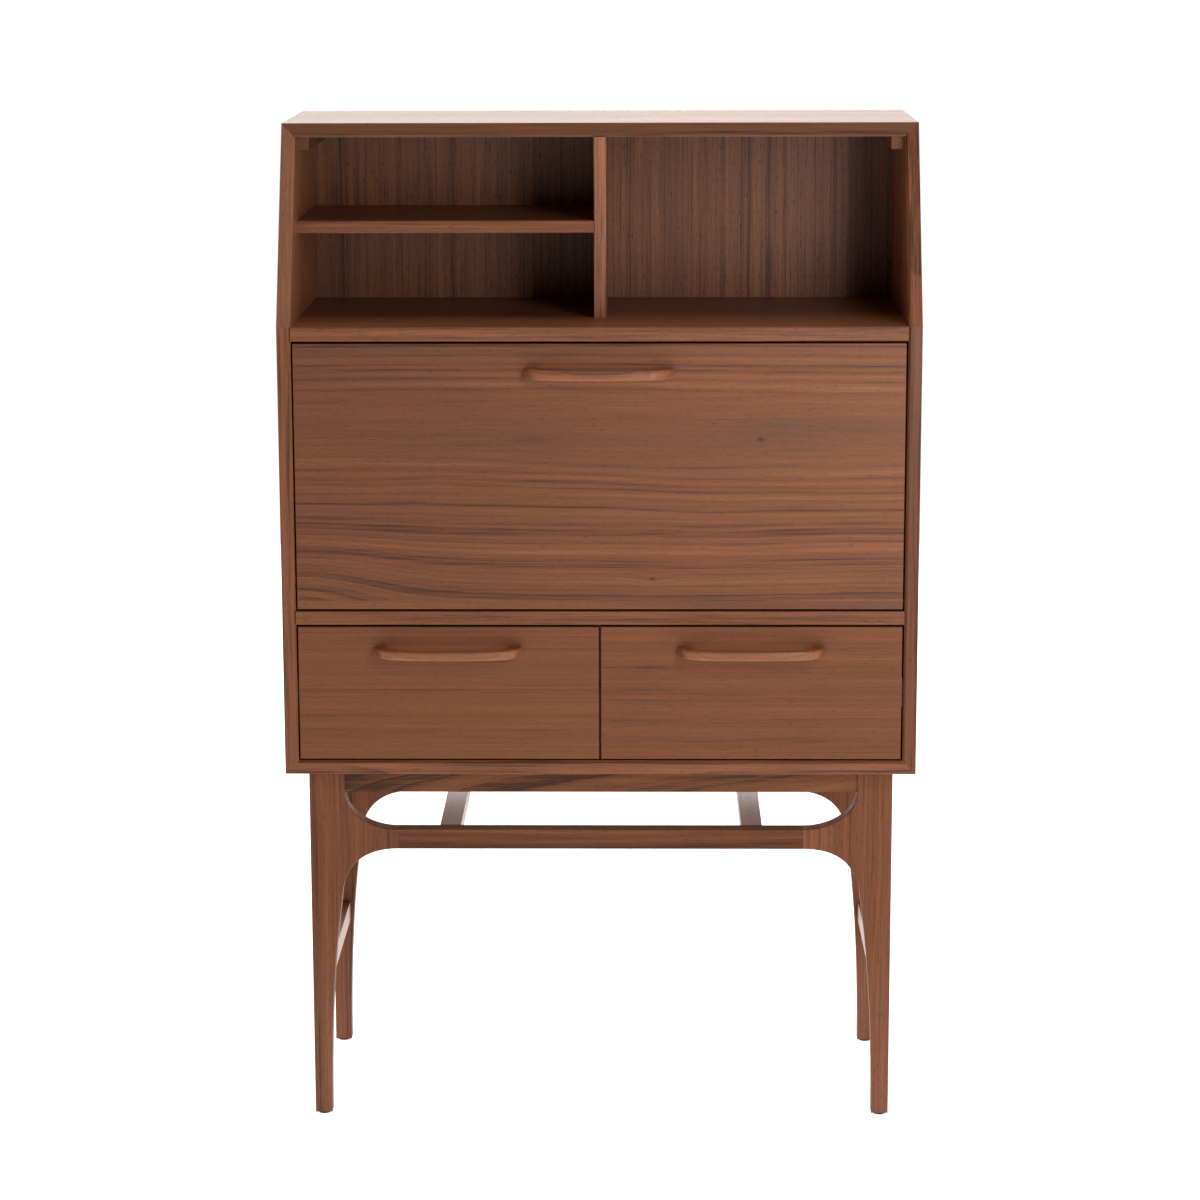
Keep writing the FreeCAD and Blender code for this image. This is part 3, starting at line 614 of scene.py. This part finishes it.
def metal(name, dark, light, seed, grain="front to back", roughness=0.34, drawn=0.5):
    """Plated or browned steel, drawn along its grain."""
    material, shader, here = new_finish(name)
    place = grain_place(split(here), grain, None)
    lines = stretched_noise(*place, DRAWN_WAVES, 2.0, seed=seed)
    bloom = stretched_noise(*place, BLOOM_WAVES, 3.0, 0.6, seed=seed + 5.0)
    specks = between(stretched_noise(*place, SPECK_WAVES, 1.0, seed=seed + 8.0), 0.66, 0.74)
    edge = near_edge(here, 0.0008)
    tone = bloom * 0.7 + lines * (0.6 * drawn)
    colour = mixed(between(tone, 0.25, 0.8), dark, light)
    colour = mixed(specks * 0.35, colour, SPECK_TINT, "MULTIPLY")
    colour = mixed(edge * 0.5, colour, BRIGHT_EDGE, "MULTIPLY")
    rough = roughness + (bloom - 0.5) * 0.22 + (lines - 0.5) * (0.2 * drawn) - edge * 0.08
    height = lines * drawn - specks * 0.4
    bump = height.node("Bump", {}, {"Height": height, "Strength": 0.15, "Distance": 0.0001})
    connect(material, shader, colour, rough, bump)
    shader.inputs["Metallic"].default_value = 1.0
    return material


# %% Plastic
SKIN_WAVES = (1900.0, 1900.0, 1900.0)
CLOUD_WAVES = (120.0, 120.0, 120.0)
SCUFF_WAVES = (60.0, 420.0, 420.0)


def plastic(name, dark, light, seed, roughness=0.45):
    """Moulded plastic with a fine skin and a few scuffs."""
    material, shader, here = new_finish(name)
    place = split(here).values()
    skin = stretched_noise(*place, SKIN_WAVES, 1.0, seed=seed)
    cloud = stretched_noise(*place, CLOUD_WAVES, 2.0, seed=seed + 3.0)
    scuffs = between(stretched_noise(*place, SCUFF_WAVES, 2.0, seed=seed + 6.0), 0.60, 0.72)
    colour = mixed(between(cloud * 0.7 + scuffs * 0.4, 0.25, 0.85), dark, light)
    rough = roughness + (skin - 0.5) * 0.12 + scuffs * 0.15
    bump = skin.node("Bump", {}, {"Height": skin, "Strength": 0.2, "Distance": 0.0001})
    connect(material, shader, colour, rough, bump)
    shader.inputs["Specular IOR Level"].default_value = 0.2
    return material


# %% Fittings and their finishes
zinc = metal("zinc plate", (0.40, 0.41, 0.42), (0.62, 0.63, 0.64), 71.0)
nickel = metal("nickel plate", (0.46, 0.44, 0.40), (0.66, 0.63, 0.58), 73.0, roughness=0.24, drawn=0.3)
browned = metal("browned steel", (0.020, 0.013, 0.010), (0.050, 0.034, 0.026), 75.0,
                grain="along the front", roughness=0.5)
screw_zinc = metal("yellow zinc screw", (0.44, 0.38, 0.26), (0.62, 0.56, 0.42), 77.0,
                   grain="along the front", roughness=0.3, drawn=0.2)
catch_plastic = plastic("catch plastic", (0.030, 0.022, 0.018), (0.060, 0.046, 0.038), 81.0)
glide_plastic = plastic("glide plastic", (0.020, 0.014, 0.011), (0.040, 0.030, 0.025), 83.0, roughness=0.85)
put_on(zinc, "cabinet_runners", "drawer_left_runners", "drawer_right_runners", "strike_plate")
put_on(nickel, "stay_brackets", "stay_rod_left", "stay_rod_right", "stay_guide_left", "stay_guide_right")
put_on(browned, "pivot_pins", "pivot_bushes")
put_on(screw_zinc, "stand_screws")
put_on(catch_plastic, "magnetic_catch")
put_on(glide_plastic, "floor_glides")

# %% [markdown]
# # Screw heads
# The small screws that hold runners, brackets, catch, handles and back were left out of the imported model.
# A head is a disc with a domed rim and a cross cut into it. It is modelled once: a cylinder, two insets
# that raise the dome, four cuts that draw the cross on its top, and an extrusion that sinks the cross.
# Then it is copied to every place and turned the way that the screw points.


# %% Choosing faces
FLAT_ON_TOP = 0.99
NEARLY = 1e-6


def faces_up(mesh, level):
    """The faces of a mesh that look up and lie above a level."""
    return [face for face in mesh.faces
            if face.normal.z > FLAT_ON_TOP and face.calc_center_median().z > level]


def select_faces(mesh, chosen):
    """Select the chosen faces and nothing else."""
    for face in mesh.faces:
        face.select_set(face in chosen)
    mesh.select_flush_mode()
    bmesh.update_edit_mesh(bpy.context.object.data)


# %% One screw head
HEAD_SIDES = 20
DOME_STEPS = (0.6, 0.4)
DOME_INSET = 0.11
CROSS_ARM = 0.14
CROSS_EDGE = 0.03
CROSS_DEPTH = 0.55


def screw_head(name, radius, height, dome):
    """A cross-headed screw head that points up; dome is the share of its height that is round."""
    rim = height * (1 - dome)
    middle = (0, 0, rim / 2)
    bpy.ops.mesh.primitive_cylinder_add(vertices=HEAD_SIDES, radius=radius, depth=rim, location=middle)
    head = bpy.context.object
    head.name = name
    bpy.ops.object.transform_apply(location=True)
    bpy.ops.object.mode_set(mode="EDIT")
    bpy.context.tool_settings.mesh_select_mode = (False, False, True)
    mesh = bmesh.from_edit_mesh(head.data)
    for share in DOME_STEPS:
        top = max(vertex.co.z for vertex in mesh.verts)
        select_faces(mesh, faces_up(mesh, top - NEARLY))
        bpy.ops.mesh.inset(thickness=radius * DOME_INSET / share, depth=height * dome * share)
        mesh = bmesh.from_edit_mesh(head.data)
    top = max(vertex.co.z for vertex in mesh.verts)
    arm = radius * CROSS_ARM
    for normal in ((1, 0, 0), (0, 1, 0)):
        for offset in (-arm, arm):
            select_faces(mesh, faces_up(mesh, top - NEARLY))
            place = tuple(offset * part for part in normal)
            bpy.ops.mesh.bisect(plane_co=place, plane_no=normal)
            mesh = bmesh.from_edit_mesh(head.data)

    def in_cross(face):
        middle = face.calc_center_median()
        return abs(middle.x) < arm or abs(middle.y) < arm

    select_faces(mesh, [face for face in faces_up(mesh, top - NEARLY) if in_cross(face)])
    bpy.ops.mesh.inset(thickness=radius * CROSS_EDGE, depth=0.0)
    bpy.ops.mesh.extrude_region_move(TRANSFORM_OT_translate={"value": (0, 0, -height * CROSS_DEPTH)})
    bpy.ops.object.mode_set(mode="OBJECT")
    bpy.ops.object.select_all(action="DESELECT")
    return head


pan_head = screw_head("pan_head", radius=0.0030, height=0.0015, dome=0.5)
flat_head = screw_head("flat_head", radius=0.0024, height=0.0003, dome=0.3)
wide_head = screw_head("wide_head", radius=0.0034, height=0.0004, dome=0.3)
print("a screw head has", len(pan_head.data.polygons), "faces")


# %% Screws in their places
def fasten(name, head, body, places, direction):
    """Copies of a head at places, all facing one direction, joined to one piece that rides on a body."""
    turned = Vector(direction).to_track_quat("Z", "Y").to_matrix().to_4x4()
    copies = []
    for place in places:
        one = bpy.data.objects.new(name, head.data.copy())
        one.data.transform(Matrix.Translation(place) @ turned)
        bpy.context.scene.collection.objects.link(one)
        one.select_set(True)
        copies.append(one)
    bpy.context.view_layer.objects.active = copies[0]
    bpy.ops.object.join()
    piece = bpy.context.object
    piece.name = name
    piece.data.materials.clear()
    piece.data.materials.append(screw_zinc)
    bpy.ops.object.select_all(action="DESELECT")
    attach(piece, body)
    print(name, "has", len(places), "heads")


# %% Runner screws
INWARDS = {"left": 1.0, "right": -1.0}
RUNNER_WEB = 0.0015
RUNNER_HOLES = (0.08, 0.45, 0.92)

runner_low, runner_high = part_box("cabinet_runners")
runner_level = (runner_low.z + runner_high.z) / 2
stations = [runner_low.y + share * (runner_high.y - runner_low.y) for share in RUNNER_HOLES]
partition_low, partition_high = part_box("drawer_partition")


def runner_screws(name, body, face_x, facing):
    """A row of heads on the web of a runner that lies on a wall at face_x and faces one way along x."""
    web = face_x + facing * RUNNER_WEB
    fasten(name, pan_head, body, [(web, y, runner_level) for y in stations], (facing, 0, 0))


for side, inwards in INWARDS.items():
    drawer = "drawer_" + side
    sides_low, sides_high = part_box(drawer + "_sides")
    outer_x, inner_x = (sides_low.x, sides_high.x) if side == "left" else (sides_high.x, sides_low.x)
    runner_screws("runner_screws_wall_" + side, "cabinet", -inwards * runner_high.x, inwards)
    runner_screws("runner_screws_partition_" + side, "cabinet", -inwards * partition_high.x, -inwards)
    runner_screws(drawer + "_runner_screws_outer", drawer, outer_x, -inwards)
    runner_screws(drawer + "_runner_screws_inner", drawer, inner_x, inwards)

# %% Handle screws
HANDLE_FOOT = 0.0085


def handle_screws(handle, panel, body):
    """Two heads on the inside of a front, opposite the handle's feet."""
    low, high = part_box(handle)
    inner_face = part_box(panel)[1].y
    level = (low.z + high.z) / 2
    fasten(handle + "_screws", pan_head, body,
           [(low.x + HANDLE_FOOT, inner_face, level), (high.x - HANDLE_FOOT, inner_face, level)], (0, 1, 0))


handle_screws("flap_handle", "flap_panel", "flap")
handle_screws("drawer_left_handle", "drawer_left_front", "drawer_left")
handle_screws("drawer_right_handle", "drawer_right_front", "drawer_right")

# %% Bracket, strike and catch screws
BRACKET_PLATE = 0.002
BRACKET_HOLES_IN = (0.0042, 0.0148)
BRACKET_HOLE_EDGE = 0.004
CATCH_HOLE_EDGE = 0.005

bracket_low, bracket_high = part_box("stay_brackets")
plate_face = bracket_low.y + BRACKET_PLATE
levels = (bracket_low.z + BRACKET_HOLE_EDGE, bracket_high.z - BRACKET_HOLE_EDGE)
holes = [(sign * (bracket_high.x - x), plate_face, z)
         for sign in (-1, 1) for x in BRACKET_HOLES_IN for z in levels]
fasten("bracket_screws", flat_head, "flap", holes, (0, 1, 0))

strike_low, strike_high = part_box("strike_plate")
strike_level = (strike_low.z + strike_high.z) / 2
strike_ends = (strike_low.x + CATCH_HOLE_EDGE, strike_high.x - CATCH_HOLE_EDGE)
fasten("strike_screws", flat_head, "flap",
       [(x, strike_high.y, strike_level) for x in strike_ends], (0, 1, 0))

catch_low, catch_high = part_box("magnetic_catch")
catch_middle = (catch_low.y + catch_high.y) / 2
catch_ends = (catch_low.x + CATCH_HOLE_EDGE, catch_high.x - CATCH_HOLE_EDGE)
fasten("catch_screws", flat_head, "cabinet",
       [(x, catch_middle, catch_low.z) for x in catch_ends], (0, 0, -1))

# %% Screws through the back
ACROSS_ALL = (-0.9, -0.45, 0.04, 0.45, 0.9)
ACROSS_SHELF = (-0.85, -0.45)

back_low, back_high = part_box("hutch_back")
shelf_low, shelf_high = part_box("hutch_shelf")
divider_low, divider_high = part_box("hutch_divider")
board_low, board_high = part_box("middle_board")
floor_low, floor_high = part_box("hutch_floor")


def row(level, shares):
    """Places across the back at one level, at shares of half its width."""
    return [(share * back_high.x, back_high.y, level) for share in shares]


def column(low, high, count):
    """Places up the middle of the back, evenly between two levels."""
    return [(0.0, back_high.y, low + (high - low) * (step + 0.5) / count) for step in range(count)]


above_joint = (back_low.z + floor_high.z) / 2
below_joint = (back_low.z + floor_low.z) / 2
shelf_level = (shelf_low.z + shelf_high.z) / 2
board_level = (board_low.z + board_high.z) / 2
upper = row(above_joint, ACROSS_ALL) + row(shelf_level, ACROSS_SHELF)
upper += column(divider_low.z, divider_high.z, 3)
lower = row(below_joint, ACROSS_ALL) + row(board_level, ACROSS_ALL)
lower += column(partition_low.z, partition_high.z, 2)
fasten("hutch_back_screws", wide_head, "cabinet", upper, (0, 1, 0))
fasten("lower_back_screws", wide_head, "cabinet", lower, (0, 1, 0))

# %% Remove the heads that were copied
for head in (pan_head, flat_head, wide_head):
    bpy.data.objects.remove(head)

# %% [markdown]
# # The studio
# A white floor that runs away to the horizon, a long lens in front and a little above, a soft key light
# from the right, a wide light overhead, and a bright wall of light behind, which the lacquered top mirrors
# at its low angle.

# %% Camera
LENS = 101.45
CAMERA_PLACE = (0.0652, -4.7714, 1.6860)
TURN_LEFT, LOOK_DOWN, ROLL = 0.8109, 11.4036, -0.1518

camera_data = bpy.data.cameras.new("studio camera")
camera_data.sensor_width = 36.0
camera_data.lens = LENS
camera_data.clip_end = 200.0
camera = bpy.data.objects.new("studio camera", camera_data)
bpy.context.scene.collection.objects.link(camera)
turn = Matrix.Rotation(math.radians(TURN_LEFT), 4, "Z")
down = Matrix.Rotation(math.radians(90 - LOOK_DOWN), 4, "X")
roll = Matrix.Rotation(math.radians(ROLL), 4, "Z")
camera.matrix_world = Matrix.Translation(CAMERA_PLACE) @ turn @ down @ roll
bpy.context.scene.camera = camera
print("camera at", CAMERA_PLACE, "with a lens of", LENS, "mm")

# %% Floor
FLOOR_RADIUS = 90.0
FLOOR_GREY = (0.86, 0.86, 0.86)
NEAR_GLOW, FAR_GLOW = (0.88, 0.88, 0.88), (1.0, 1.0, 1.0)
GLOW_FROM, GLOW_TO = 1.0, 4.0

bpy.ops.mesh.primitive_circle_add(vertices=96, radius=FLOOR_RADIUS, fill_type="NGON", location=(0, 0, 0))
floor = bpy.context.object
floor.name = "studio_floor"
floor_finish, floor_shader, floor_place = new_finish("studio floor")
floor_shader.inputs["Base Color"].default_value = (*FLOOR_GREY, 1)
floor_shader.inputs["Roughness"].default_value = 0.7
floor_axes = split(floor_place)
distance_squared = floor_axes["x"] ** 2.0 + floor_axes["y"] ** 2.0
glow_colour = mixed(between(distance_squared, GLOW_FROM ** 2, GLOW_TO ** 2), NEAR_GLOW, FAR_GLOW)
floor_finish.node_tree.links.new(glow_colour.socket, floor_shader.inputs["Emission Color"])
floor_shader.inputs["Emission Strength"].default_value = 1.0
floor.data.materials.append(floor_finish)
print("floor radius", FLOOR_RADIUS, "m")


# %% Lights
def soft_light(name, place, aim, size, watts, colour=(1, 1, 1)):
    """A rectangular light at a place, turned towards an aim and hidden from the camera."""
    data = bpy.data.lights.new(name, "AREA")
    data.shape = "RECTANGLE"
    data.size, data.size_y = size
    data.energy = watts
    data.color = colour
    light = bpy.data.objects.new(name, data)
    bpy.context.scene.collection.objects.link(light)
    light.location = place
    light.rotation_mode = "QUATERNION"
    light.rotation_quaternion = (Vector(aim) - Vector(place)).to_track_quat("-Z", "Y")
    light.visible_camera = False
    print(name, "of", watts, "W")


soft_light("key light", place=(0.95, -2.0, 1.50), aim=(0, 0, 0.95), size=(0.60, 1.6), watts=26)
soft_light("top light", place=(0.2, 0.6, 3.6), aim=(0, 0.1, 0.0), size=(3.0, 2.4), watts=70,
           colour=(1.0, 0.95, 0.88))
soft_light("wall of light", place=(0, 4.2, 2.0), aim=(0, 0, 1.6), size=(7.0, 3.8), watts=225,
           colour=(1.0, 0.97, 0.93))

# %% Sky
FILL = (0.022, 0.022, 0.022)
WHITE = (1.0, 1.0, 1.0)

world = bpy.data.worlds.new("studio")
bpy.context.scene.world = world
world.use_nodes = True
sky = world.node_tree.nodes["Background"]
ray = world.node_tree.nodes.new("ShaderNodeLightPath")
seen = Amount(world.node_tree, ray.outputs["Is Camera Ray"])
sky_colour = mixed(seen, FILL, WHITE)
world.node_tree.links.new(sky_colour.socket, sky.inputs["Color"])
bpy.context.scene.view_settings.view_transform = "Standard"
print("the camera sees white, and the desk gets a fill of", FILL[0])
